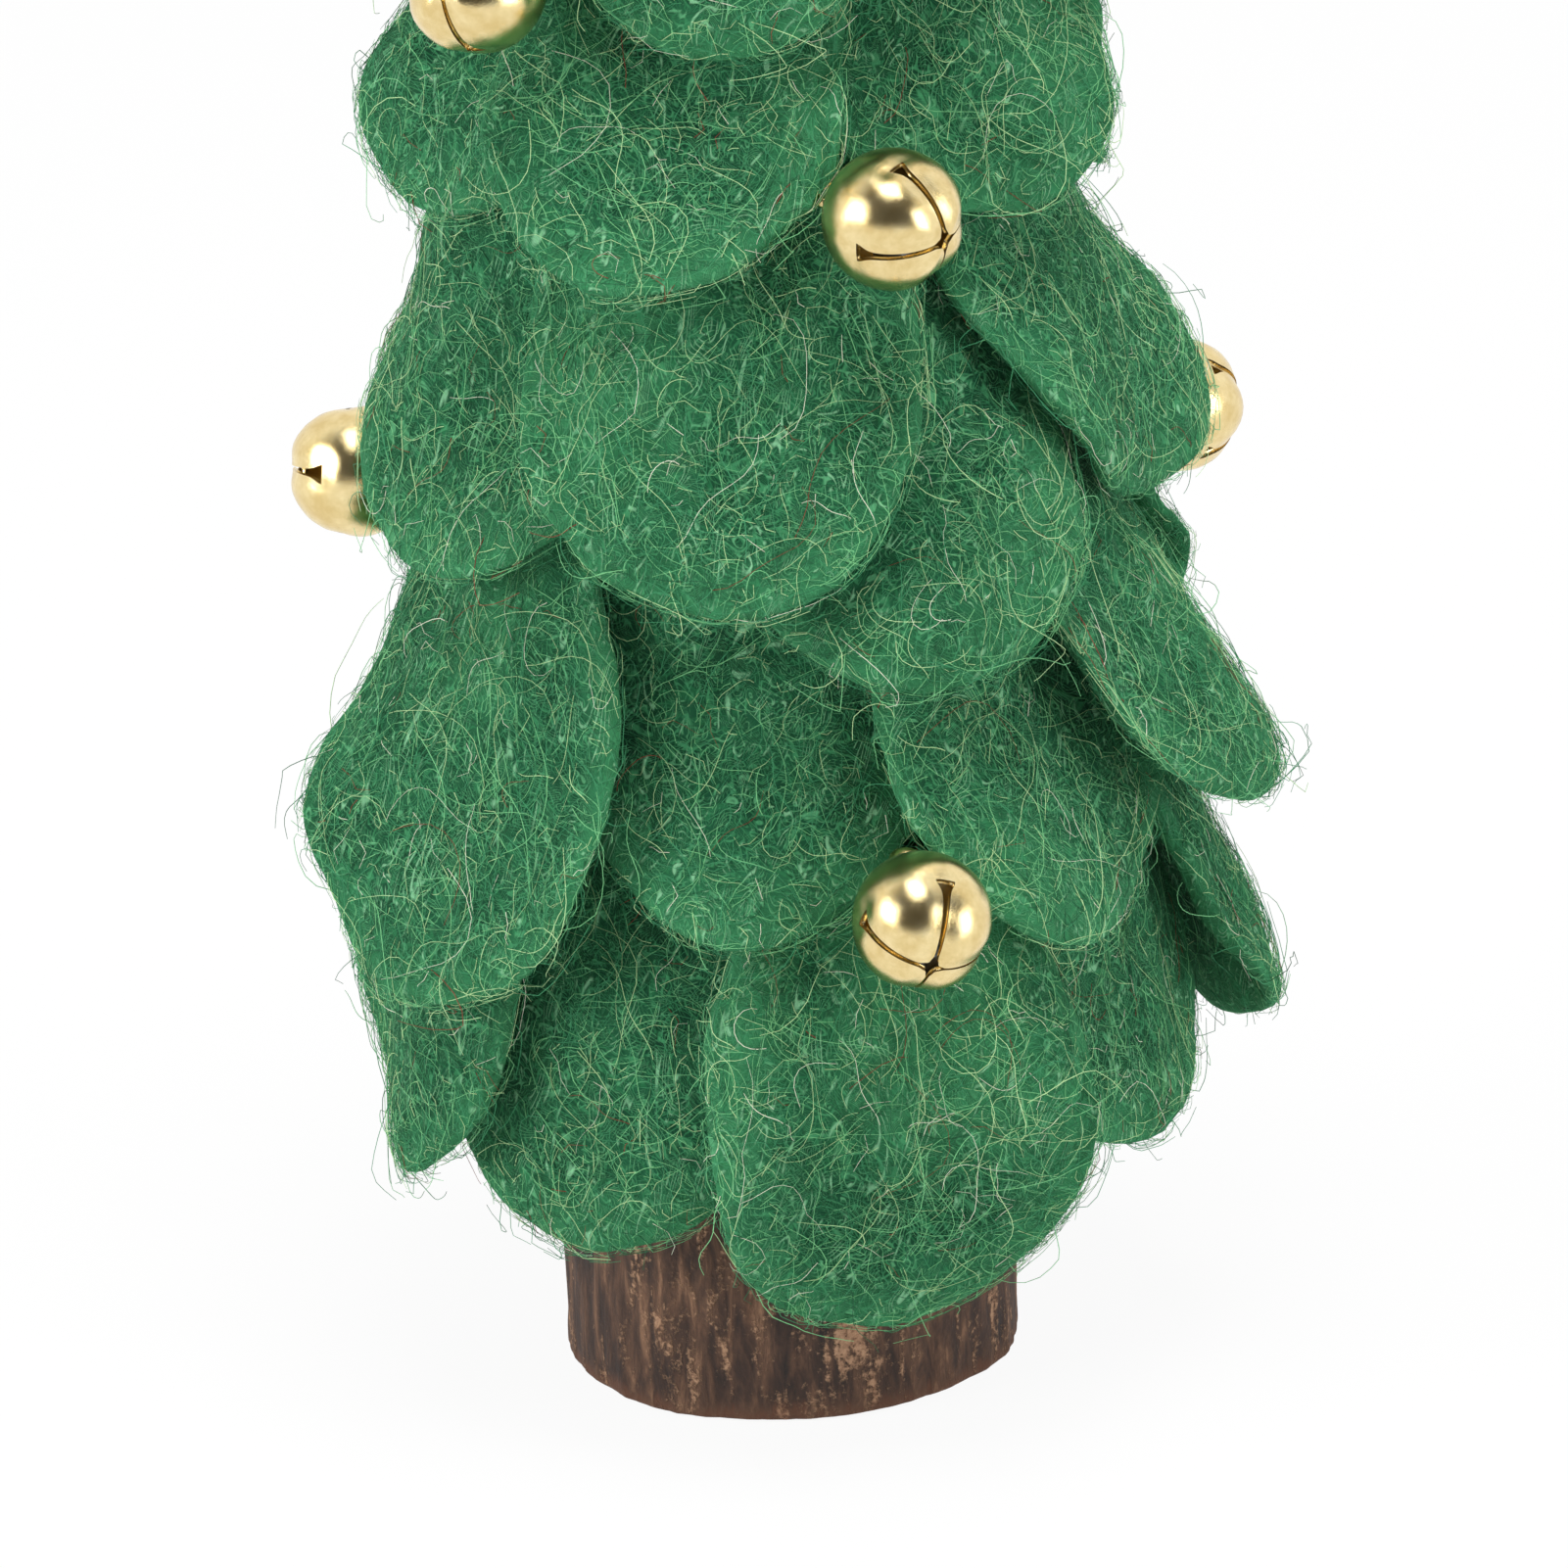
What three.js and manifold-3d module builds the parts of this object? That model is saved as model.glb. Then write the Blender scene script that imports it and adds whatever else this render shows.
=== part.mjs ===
import * as THREE from 'three';
import { mergeVertices } from 'three/addons/utils/BufferGeometryUtils.js';
import Module from 'manifold-3d';

const wasm = await Module();
wasm.setup();

// Driving dimensions, in millimetres

// Log slice that the tree stands on
const logRadius = 17;
const logHeight = 20;
const logEdge = 0.7;
const logSides = 32;

// Foam cone, glued on the log slice
const coneFootRadius = 25.2;
const coneTipRadius = 1.5;
const coneHeight = 160;
const coneSides = 28;

// Felt and the clearance that one layer keeps to the next
const feltThickness = 2.4;
const layerGap = 0.3;
const seatGap = 0.3;

// Height of the lowest row's tips, and the step from row to row in the four lower rows
const firstTip = 18;
const lowerRise = 24.5;

// Petals cut to four sizes
const wideWidth = 28;
const wideLength = 37;
const middleWidth = 25;
const middleLength = 32;
const narrowWidth = 21;
const narrowLength = 25;
const smallWidth = 19;
const smallLength = 23;

// Pointed bud of felt at the very top
const budLength = 31;
const budTopRadius = 0.4;

// Jingle bells
const bellRadius = 5;
const bellWall = 0.4;
const bellSlot = 0.55;
const bellSlotHole = 0.95;
const loopRadius = 1.25;
const loopWire = 0.85;
const loopPocketGap = 0.35;
const pelletRadius = 1.5;
const pelletGap = 0.2;

// Felt colour, shared by the petals, and the cone's paint, which keeps the gaps between them dark
const feltColour = '#2c7f5b';
const foamColour = '#23503c';

const turn = 2 * Math.PI;
const radians = THREE.MathUtils.degToRad;

const mesh = (name, geometry, colour, roughness, metalness) => {
  const material = new THREE.MeshStandardMaterial({ color: colour, roughness, metalness });
  const piece = new THREE.Mesh(geometry, material);
  piece.name = name;
  return piece;
};

const bare = (geometry) => {
  const copy = geometry.clone();
  copy.deleteAttribute('normal');
  copy.deleteAttribute('uv');
  return mergeVertices(copy);
};

const toSolid = (geometry) => {
  const merged = bare(geometry);
  const vertProperties = new Float32Array(merged.attributes.position.array);
  const triVerts = new Uint32Array(merged.index.array);
  return new wasm.Manifold(new wasm.Mesh({ numProp: 3, vertProperties, triVerts }));
};

const fromSolid = (solid) => {
  const { numProp, vertProperties, triVerts } = solid.getMesh();
  const geometry = new THREE.BufferGeometry();
  const positions = new Float32Array((vertProperties.length / numProp) * 3);
  for (let i = 0; i < positions.length / 3; i += 1) {
    positions.set(vertProperties.subarray(i * numProp, i * numProp + 3), i * 3);
  }
  geometry.setAttribute('position', new THREE.BufferAttribute(positions, 3));
  geometry.setIndex([...triVerts]);
  return geometry;
};

// Foot: a slice of a small log, a little out of round as its bark is

const logWaveShares = [[2, 0.7, 0.014], [3, 2.1, 0.009], [7, 4.4, 0.006]];
const logMostShare = logWaveShares.reduce((sum, [, , share]) => sum + share, 1);

const makeLogSlice = () => {
  const waveAt = (angle) => (sum, [waves, phase, share]) => sum + share * Math.sin(waves * angle + phase);
  const outline = [];
  for (let i = 0; i < logSides; i += 1) {
    const angle = (i / logSides) * turn;
    const radius = logRadius * logWaveShares.reduce(waveAt(angle), 1);
    outline.push(new THREE.Vector2(radius * Math.cos(angle), radius * Math.sin(angle)));
  }
  const geometry = new THREE.ExtrudeGeometry(new THREE.Shape(outline), {
    depth: logHeight - 2 * logEdge,
    bevelThickness: logEdge,
    bevelSize: logEdge,
    bevelOffset: -logEdge,
    bevelSegments: 1,
  });
  return mesh('log_slice', bare(geometry.translate(0, 0, logEdge)), '#4a372c', 0.85, 0);
};

// Core: a foam cone that stands on the log slice

const coneFoot = logHeight + seatGap;
const coneTop = coneFoot + coneHeight;

const coneRadiusAt = (z) => {
  const share = THREE.MathUtils.clamp((z - coneFoot) / coneHeight, 0, 1);
  return THREE.MathUtils.lerp(coneFootRadius, coneTipRadius, share);
};

const makeCone = () => {
  const profile = [
    new THREE.Vector2(0, coneFoot),
    new THREE.Vector2(coneFootRadius, coneFoot),
    new THREE.Vector2(coneTipRadius, coneTop),
    new THREE.Vector2(0, coneTop),
  ];
  const geometry = new THREE.LatheGeometry(profile, coneSides).rotateX(Math.PI / 2);
  return mesh('foam_cone', bare(geometry), foamColour, 0.9, 0);
};

// Map of the radius that the pieces laid so far reach, by azimuth and height round the tree's axis.
// Azimuth 0 faces the front, which is -Y, and grows towards +X.

const mapTurns = 360;
const mapStep = feltThickness / 4;
const mapRows = Math.ceil((coneTop + 2 * budLength) / mapStep);
const reach = new Float64Array(mapTurns * mapRows);

const cellAt = (column, row) => {
  const wrapped = ((column % mapTurns) + mapTurns) % mapTurns;
  return wrapped + mapTurns * THREE.MathUtils.clamp(row, 0, mapRows - 1);
};

const fillMap = (fromZ, toZ, radiusAt) => {
  for (let row = Math.floor(fromZ / mapStep); row <= Math.ceil(toZ / mapStep); row += 1) {
    for (let column = 0; column < mapTurns; column += 1) {
      const cell = cellAt(column, row);
      reach[cell] = Math.max(reach[cell], radiusAt(row * mapStep));
    }
  }
};

const nearbyReach = (column, row) => {
  let most = 0;
  for (let i = -1; i <= 1; i += 1) {
    for (let j = -1; j <= 1; j += 1) {
      most = Math.max(most, reach[cellAt(column + i, row + j)]);
    }
  }
  return most;
};

fillMap(0, logHeight, () => logRadius * logMostShare);
fillMap(coneFoot, coneTop, coneRadiusAt);

// Felt: each piece is a grid of columns across and rows down, with an inner and an outer face. Its azimuths
// and heights are set first. Its radii then settle on what lies below it, as stiff cloth does.

const makeGrid = (columns, rows, closed, place) => {
  const grid = { columns, rows, closed, angle: [], z: [], radius: [], floor: [] };
  for (let j = 0; j < rows; j += 1) {
    for (let i = 0; i < columns; i += 1) {
      const spot = place(i, j);
      grid.angle.push(spot.angle);
      grid.z.push(spot.z);
      grid.floor.push(spot.floor);
    }
  }
  grid.cells = [];
  for (let j = 0; j < rows - 1; j += 1) {
    for (let i = 0; i < (closed ? columns : columns - 1); i += 1) {
      const a = j * columns + i;
      const b = j * columns + ((i + 1) % columns);
      grid.cells.push([a, a + columns, b], [b, a + columns, b + columns]);
    }
  }
  return grid;
};

// Angle of a facet's corners, unwrapped so that they lie within half a turn of the first
const facetAngles = (grid, facet) => {
  const first = grid.angle[facet[0]];
  return facet.map((k) => first + (((grid.angle[k] - first + 3 * Math.PI) % turn) - Math.PI));
};

// Map cells under a facet, each with the shares of the facet's three corners there
const roundingShare = 1e-9;

const samplesOf = (grid, facet) => {
  const angles = facetAngles(grid, facet);
  const heights = facet.map((k) => grid.z[k]);
  const x = angles.map((angle) => (angle / turn) * mapTurns);
  const y = heights.map((z) => z / mapStep);
  const area = (x[1] - x[0]) * (y[2] - y[0]) - (x[2] - x[0]) * (y[1] - y[0]);
  const found = [];
  for (let column = Math.floor(Math.min(...x)); column <= Math.ceil(Math.max(...x)); column += 1) {
    for (let row = Math.floor(Math.min(...y)); row <= Math.ceil(Math.max(...y)); row += 1) {
      const second = ((column - x[0]) * (y[2] - y[0]) - (x[2] - x[0]) * (row - y[0])) / area;
      const third = ((x[1] - x[0]) * (row - y[0]) - (column - x[0]) * (y[1] - y[0])) / area;
      const shares = [1 - second - third, second, third];
      if (Math.min(...shares) > -roundingShare) {
        found.push({ facet, shares, column, row });
      }
    }
  }
  return found;
};

// Share by which a flat facet's middle lies nearer the axis than its corners
const chordShareOf = (grid, facet) => {
  const angles = facetAngles(grid, facet);
  return Math.cos((Math.max(...angles) - Math.min(...angles)) / 2);
};

const neighboursOf = (grid, index) => {
  const i = index % grid.columns;
  const j = Math.floor(index / grid.columns);
  const found = [];
  if (j > 0) found.push(index - grid.columns);
  if (j < grid.rows - 1) found.push(index + grid.columns);
  if (grid.closed || i > 0) found.push(j * grid.columns + ((i + grid.columns - 1) % grid.columns));
  if (grid.closed || i < grid.columns - 1) found.push(j * grid.columns + ((i + 1) % grid.columns));
  return found;
};

const settlePasses = 60;
const liftShare = 1.02;
const headPressShare = 0.5;
const tipPressShare = 0.35;

const settle = (grid) => {
  const samples = grid.cells.flatMap((facet) => samplesOf(grid, facet));
  for (const sample of samples) {
    sample.least = (nearbyReach(sample.column, sample.row) + layerGap) / chordShareOf(grid, sample.facet);
    sample.weight = sample.shares.reduce((sum, share) => sum + share * share, 0);
  }
  grid.radius = grid.floor.slice();
  for (const { facet, least } of samples) {
    facet.forEach((k) => { grid.radius[k] = Math.max(grid.radius[k], least); });
  }
  const neighbours = grid.radius.map((_, index) => neighboursOf(grid, index));
  const lift = () => {
    for (const { facet, shares, least, weight } of samples) {
      const short = least - facet.reduce((sum, k, n) => sum + shares[n] * grid.radius[k], 0);
      if (short > 0) {
        facet.forEach((k, n) => { grid.radius[k] += (liftShare * short * shares[n]) / weight; });
      }
    }
  };
  for (let pass = 0; pass < settlePasses; pass += 1) {
    const before = grid.radius.slice();
    grid.radius.forEach((_, k) => {
      const mean = neighbours[k].reduce((sum, n) => sum + before[n], 0) / neighbours[k].length;
      const down = Math.floor(k / grid.columns) / (grid.rows - 1);
      const press = feltThickness * THREE.MathUtils.lerp(tipPressShare, headPressShare, (1 - down) ** 2);
      grid.radius[k] = Math.max(grid.floor[k], (before[k] + mean) / 2 - press);
    });
    lift();
  }
  for (let pass = 0; pass < settlePasses; pass += 1) {
    lift();
  }
};

const addToMap = (grid, outer) => {
  for (const facet of grid.cells) {
    for (const { shares, column, row } of samplesOf(grid, facet)) {
      const cell = cellAt(column, row);
      const radius = facet.reduce((sum, k, n) => sum + shares[n] * outer[k], 0);
      reach[cell] = Math.max(reach[cell], radius);
    }
  }
};

// Heads are glued and pressed flat, and the felt is full thickness from the share of its length given here
const headThicknessShare = 0.45;
const pressedShare = 0.4;

const thicknessAt = (grid, index) => {
  const down = Math.floor(index / grid.columns) / (grid.rows - 1);
  const full = THREE.MathUtils.smoothstep(down, 0, pressedShare);
  return feltThickness * THREE.MathUtils.lerp(headThicknessShare, 1, full);
};

// Softened rim: both faces draw together along the cut edge
const rimShare = 0.14;

const onRim = (grid, index) => {
  const i = index % grid.columns;
  const j = Math.floor(index / grid.columns);
  return j === 0 || j === grid.rows - 1 || (!grid.closed && (i === 0 || i === grid.columns - 1));
};

const feltGeometry = (grid, outer) => {
  const count = grid.radius.length;
  const soften = (k) => (onRim(grid, k) ? rimShare * thicknessAt(grid, k) : 0);
  const inner = grid.radius.map((radius, k) => radius + soften(k));
  const outside = outer.map((radius, k) => radius - soften(k));
  const positions = [];
  for (const radii of [inner, outside]) {
    radii.forEach((radius, k) => {
      positions.push(radius * Math.sin(grid.angle[k]), -radius * Math.cos(grid.angle[k]), grid.z[k]);
    });
  }
  const index = [];
  for (const [a, b, c] of grid.cells) {
    index.push(a, c, b, a + count, b + count, c + count);
  }
  const wall = (a, b) => index.push(a, b, b + count, a, b + count, a + count);
  const last = (grid.rows - 1) * grid.columns;
  for (let i = 0; i < (grid.closed ? grid.columns : grid.columns - 1); i += 1) {
    const next = (i + 1) % grid.columns;
    wall(next, i);
    wall(last + i, last + next);
  }
  if (!grid.closed) {
    for (let j = 0; j < grid.rows - 1; j += 1) {
      const a = j * grid.columns;
      wall(a, a + grid.columns);
      wall(a + 2 * grid.columns - 1, a + grid.columns - 1);
    }
  }
  const geometry = new THREE.BufferGeometry();
  geometry.setAttribute('position', new THREE.BufferAttribute(new Float32Array(positions), 3));
  geometry.setIndex(index);
  return geometry;
};

// A piece is laid twice. The radii on which it settles at first turn its widths into angles for good.
const layFelt = (name, columns, rows, closed, place, lift) => {
  const rough = makeGrid(columns, rows, closed, (i, j) => place(i, j, wrapRadiusAt));
  settle(rough);
  const settledAt = (i, j) => rough.radius[j * columns + i] + feltThickness / 2;
  const grid = makeGrid(columns, rows, closed, (i, j) => place(i, j, () => settledAt(i, j)));
  settle(grid);
  grid.radius = grid.radius.map((radius, k) => radius + lift(k));
  const outer = grid.radius.map((radius, k) => radius + thicknessAt(grid, k));
  addToMap(grid, outer);
  return mesh(name, feltGeometry(grid, outer), feltColour, 1, 0);
};

// Height lost per millimetre of petal, because the petals lie along the cone's slope
const slopeShare = Math.cos(Math.atan((coneFootRadius - coneTipRadius) / coneHeight));

// Petals below the cone hang from its rim, drawing in a little
const hangShare = 0.12;
const hangFloor = (z) => coneRadiusAt(z) - hangShare * Math.max(0, coneFoot - z);

// Mean radius that a piece meets round an azimuth and a height, which turns its widths into angles
const wrapSpan = mapTurns / 12;
const wrapRadiusAt = (azimuth, z) => {
  const middle = Math.round((azimuth / turn) * mapTurns);
  let sum = 0;
  for (let column = -wrapSpan; column <= wrapSpan; column += 1) {
    sum += Math.max(hangFloor(z), reach[cellAt(middle + column, Math.round(z / mapStep))]);
  }
  return sum / (2 * wrapSpan + 1) + feltThickness;
};

const petalColumns = 7;
const petalRows = 7;
const headWidthShare = 0.72;
const tipRoundShare = 0.46;
const petalRoomAngle = radians(42);
const tipLiftPower = 2.5;
const sideLiftPower = 4;

// Stiff felt bows out between its glued head and its tip
const bowShare = 0.8;

// One petal: parallel sides, a round tip below and a narrower head above, glued under the next row
const layPetal = (name, size, azimuth, tilt, tip, tipLift, sideLift, bow = bowShare) => {
  const across = (i) => -1 + (2 * i) / (petalColumns - 1);
  const place = (i, j, wrapAt) => {
    const share = Math.sin((across(i) * Math.PI) / 2);
    const down = j / (petalRows - 1);
    const reachDown = size.length - tipRoundShare * size.width * (1 - Math.cos((across(i) * Math.PI) / 2));
    const half = (size.width / 2) * THREE.MathUtils.lerp(headWidthShare, 1, Math.min(1, 2 * down));
    const x = share * half;
    const y = size.length - reachDown * down;
    const turned = new THREE.Vector2(x, y).rotateAround(new THREE.Vector2(0, 0), radians(tilt));
    const z = tip + turned.y * slopeShare;
    const most = Math.abs(share) * petalRoomAngle;
    const angle = THREE.MathUtils.clamp(turned.x / wrapAt(radians(azimuth), z), -most, most);
    const bowed = feltThickness * bow * Math.sin(down * Math.PI);
    return { angle: radians(azimuth) + angle, z, floor: hangFloor(z) + bowed };
  };
  const lift = (k) => {
    const side = Math.abs(across(k % petalColumns)) ** sideLiftPower;
    const down = (Math.floor(k / petalColumns) / (petalRows - 1)) ** tipLiftPower;
    return feltThickness * (tipLift * down + sideLift * side * down);
  };
  return layFelt(name, petalColumns, petalRows, false, place, lift);
};

// Height of a row's tips over the ground. A fraction of a row lies between two rows. The upper rows share
// what is left of the cone, so that the heads of the last one close round its tip.
const lastRow = 8;
const lastLowerRow = 4;
const lastLowerTip = firstTip + (lastLowerRow - 1) * lowerRise;
const upperRise = (coneTop - smallLength * slopeShare - lastLowerTip) / (lastRow - lastLowerRow);

const rowTip = (row) => {
  const lower = Math.min(row, lastLowerRow);
  return firstTip + (lower - 1) * lowerRise + (row - lower) * upperRise;
};

// The four lower rows, petal by petal from the front round to the left. Each line gives azimuth and tilt in
// degrees, the tip's height over the row's as a share of the petal's length, and how far the tip and the
// sides lift off, as shares of the felt's thickness. A last number, where given, is the petal's own bow. A
// row's petals are laid in the order given after it, so a later one lies over its neighbours.
const wide = { width: wideWidth, length: wideLength };
const middle = { width: middleWidth, length: middleLength };

const lowerRows = [
  {
    size: wide,
    petalShares: [
      [16, 0, -0.2, 0.4, 0.1],
      [61, -2, 0.08, 1.8, 0.2],
      [101, -1, 0.12, 1.3, 0.1],
      [149, 2, 0.03, 0.4, 0.1],
      [194, -2, -0.06, 0.4, 0.1],
      [239, 3, 0.04, 0.4, 0.1],
      [290, -4, 0.04, 0.5, 0.1],
      [329, 2, -0.03, 0.4, 0.1],
    ],
    laid: [2, 4, 6, 8, 1, 3, 5, 7],
  },
  {
    size: wide,
    petalShares: [
      [-3.5, 1, 0.01, 0.5, 0],
      [44, -4, -0.08, 0.7, 0],
      [77, 0, 0.07, 1.7, 0.3, 1],
      [134, 2, 0.02, 0.5, 0.1],
      [177, -2, -0.03, 0.5, 0.1],
      [221, 3, 0.04, 0.5, 0.1],
      [264, -2, -0.1, 0.3, 0],
      [314, 9, -0.17, 0.6, 0.2, 2.6],
    ],
    laid: [1, 5, 7, 2, 6, 8, 3, 4],
  },
  {
    size: wide,
    petalShares: [
      [-7, 0, 0, 0.6, 0.2],
      [23, -3, -0.18, 0.5, 0],
      [79, 3, 0.02, 0, 0, 0.3],
      [117, -2, 0.03, 0.6, 0.1],
      [166, 2, -0.03, 0.6, 0.1],
      [214, -3, 0.04, 0.6, 0.1],
      [256, 2, 0.04, 0.6, 0.1],
      [304, 2, -0.02, 0.7, 0.1],
    ],
    laid: [2, 4, 6, 7, 8, 1, 3, 5],
  },
  {
    size: middle,
    petalShares: [
      [-17, 0, -0.04, 0.6, 0.2],
      [46, -3, 0.02, 0.3, 0],
      [94, 3, -0.02, 0.1, 0],
      [133, -2, 0.02, 0.6, 0.1],
      [178, 2, -0.03, 0.6, 0.1],
      [220, -2, 0.05, 0.6, 0.1],
      [250, 2, -0.02, 0.3, 0],
      [293, -2, 0.01, 0.3, 0],
    ],
    laid: [3, 7, 8, 2, 4, 6, 1, 5],
  },
];

const layLowerRow = (row, number) => row.laid.map((petal) => {
  const [azimuth, tilt, tipShare, ...liftShares] = row.petalShares[petal - 1];
  const tip = rowTip(number) + tipShare * row.size.length;
  return layPetal(`petal_row${number}_${petal}`, row.size, azimuth, tilt, tip, ...liftShares);
});

// Upper rows: each is a strip of felt cut into petals along its lower edge and closed round the cone at its
// heads. A loose strip's petals stand apart with only the band between them. A second strip fills its gaps
// and hangs lower. A close strip's petals touch, and the bud's strip closes in to a point.
const stripRows = 6;
const acrossShares = [-1, -0.5, 0, 0.5, 1];
const bandShare = 0.2;
const bandStepShare = 0.05;
const staggerShare = 0.1;
const stripLiftShare = 0.4;

const looseColumns = (petals, width, length) => {
  const columns = [];
  for (let petal = 0; petal < petals; petal += 1) {
    const middle = (petal / petals) * turn;
    const deep = bandShare * length;
    const band = (side) => ({ middle, half: width / 2, share: side * (1 + bandStepShare), deep });
    const gap = { middle: middle + turn / petals / 2, halfAngle: 0, share: 0, deep };
    const own = acrossShares.map((across) => ({
      middle,
      half: width / 2,
      share: Math.sin((across * Math.PI) / 2),
      deep: length - tipRoundShare * width * (1 - Math.cos((across * Math.PI) / 2)),
    }));
    columns.push(band(-1), ...own, band(1), gap);
  }
  return columns;
};

const closeColumns = (petals, length) => {
  const columns = [];
  for (let petal = 0; petal < petals; petal += 1) {
    const middle = (petal / petals) * turn;
    for (const across of acrossShares.slice(0, -1)) {
      const share = Math.sin((across * Math.PI) / 2);
      const deep = length * (1 - tipRoundShare * (1 - Math.cos((across * Math.PI) / 2)));
      columns.push({ middle, halfAngle: turn / petals / 2, share, deep });
    }
  }
  return columns;
};

const layStrip = (name, columns, length, tip, azimuth, floorAt, tipLift = stripLiftShare) => {
  const place = (i, j, wrapAt) => {
    const { middle, half, halfAngle, share, deep } = columns[i];
    const z = tip + (length - (deep * j) / (stripRows - 1)) * slopeShare;
    const start = radians(azimuth) + middle;
    const wide = halfAngle ?? Math.min(half / wrapAt(start, z), petalRoomAngle);
    return { angle: start + wide * share, z, floor: floorAt(z) };
  };
  const lift = (k) => {
    const down = Math.floor(k / columns.length) / (stripRows - 1);
    return feltThickness * tipLift * down ** tipLiftPower;
  };
  return layFelt(name, columns.length, stripRows, true, place, lift);
};

// The topmost petals stand away from the thin end of the cone, as stiff felt does
const flareShare = 0.34;
const budFlareShare = 0.07;

const flaredFrom = (head, share, radiusAt) => (z) => radiusAt(z) + share * Math.max(0, head - z);

const layUpperRows = () => {
  const pairedRow = (row, petals, width, length, azimuth) => {
    const columns = looseColumns(petals, width, length);
    const stagger = staggerShare * length;
    const underAzimuth = azimuth + 180 / petals;
    return [
      layStrip(`strip_row${row}_under`, columns, length, rowTip(row) + stagger, underAzimuth, coneRadiusAt),
      layStrip(`strip_row${row}_over`, columns, length, rowTip(row) - stagger, azimuth, coneRadiusAt),
    ];
  };
  const singleRow = (row, petals, azimuth) => {
    const columns = closeColumns(petals, smallLength);
    const floorAt = flaredFrom(rowTip(row) + smallLength, flareShare, coneRadiusAt);
    return layStrip(`strip_row${row}`, columns, smallLength, rowTip(row), azimuth, floorAt);
  };
  return [
    ...pairedRow(5, 4, narrowWidth, narrowLength, -5),
    ...pairedRow(6, 3, smallWidth, smallLength, 20),
    singleRow(7, 5, 0),
    singleRow(8, 4, 40),
  ];
};

// Bud: the last petals, rolled to a point
const layBud = () => {
  const tip = rowTip(lastRow + 1);
  const top = tip + budLength * slopeShare;
  const floorAt = (z) => {
    const share = THREE.MathUtils.clamp((z - coneTop) / (top - coneTop), 0, 1);
    return THREE.MathUtils.lerp(coneRadiusAt(z), budTopRadius, share);
  };
  const flared = flaredFrom(top, budFlareShare, floorAt);
  return layStrip('tip_bud', closeColumns(4, budLength), budLength, tip, 0, flared, 0);
};

// Jingle bells. A bell's own axis is Z: its loop is at -Z and its two slots cross at +Z, the pole.

const ballSides = 12;
const ballRings = 6;
const loopSides = 4;
const loopSteps = 8;
const pelletSides = 8;
const pelletRings = 6;
const slotReachAngle = radians(85);
const cutOver = bellWall;

const ballOf = (radius) => new THREE.SphereGeometry(radius, ballSides, ballRings).rotateX(Math.PI / 2);

const makeBellSolid = () => {
  const loop = new THREE.TorusGeometry(loopRadius, loopWire / 2, loopSides, loopSteps)
    .rotateX(Math.PI / 2)
    .translate(0, 0, -(bellRadius + loopRadius / 2));
  const slotFoot = bellRadius * Math.cos(slotReachAngle);
  const slotHeight = bellRadius + cutOver - slotFoot;
  let shell = toSolid(ballOf(bellRadius)).add(toSolid(loop)).subtract(toSolid(ballOf(bellRadius - bellWall)));
  for (const quarter of [0, 1]) {
    const slot = new THREE.BoxGeometry(2 * bellRadius * Math.sin(slotReachAngle), bellSlot, slotHeight)
      .translate(0, 0, slotFoot + slotHeight / 2)
      .rotateZ((quarter * Math.PI) / 2);
    shell = shell.subtract(toSolid(slot));
  }
  for (const quarter of [0, 1, 2, 3]) {
    const hole = new THREE.CylinderGeometry(bellSlotHole, bellSlotHole, bellRadius, 3)
      .rotateY(Math.PI)
      .rotateX(Math.PI / 2)
      .rotateZ(Math.PI / 2)
      .translate(bellRadius, 0, slotFoot)
      .rotateZ((quarter * Math.PI) / 2);
    shell = shell.subtract(toSolid(hole));
  }
  return shell;
};

const directionOf = (azimuth, elevation) => {
  const flat = Math.cos(radians(elevation));
  const a = radians(azimuth);
  return new THREE.Vector3(Math.sin(a) * flat, -Math.cos(a) * flat, Math.sin(radians(elevation)));
};

// Distance from the tree's axis at which a ball rests on what the map holds there
const ballRest = (azimuth, z) => {
  const clear = bellRadius + seatGap;
  let rest = 0;
  for (let row = Math.floor((z - clear) / mapStep); row <= Math.ceil((z + clear) / mapStep); row += 1) {
    for (let column = 0; column < mapTurns; column += 1) {
      const met = reach[cellAt(column, row)];
      const aside = (column / mapTurns) * turn - radians(azimuth);
      const off = clear ** 2 - (row * mapStep - z) ** 2 - (met * Math.sin(aside)) ** 2;
      if (off > 0 && Math.cos(aside) > 0) {
        rest = Math.max(rest, met * Math.cos(aside) + Math.sqrt(off));
      }
    }
  }
  return rest;
};

// Each line gives azimuth, height in rows, the pole's azimuth and elevation, and the turn of its slots
const bellShares = [
  ['low_front', 16, 2.17, 7, -24, -18],
  ['high_front', 19, 4.28, 50, -10, 14],
  ['upper_left', -38, 5.3, -30, 12, 10],
  ['left', -115, 2.92, -115, 0, 13],
  ['right', 121, 2.98, 120, -12, 37],
  ['low_back', 169, 2.4, 170, -15, 30],
  ['high_back', -146, 4.25, -146, -5, -25],
  ['top_right', 60, 7.5, 50, -10, 5],
  ['top_left', -110, 7.5, -95, -18, 35],
];

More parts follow.
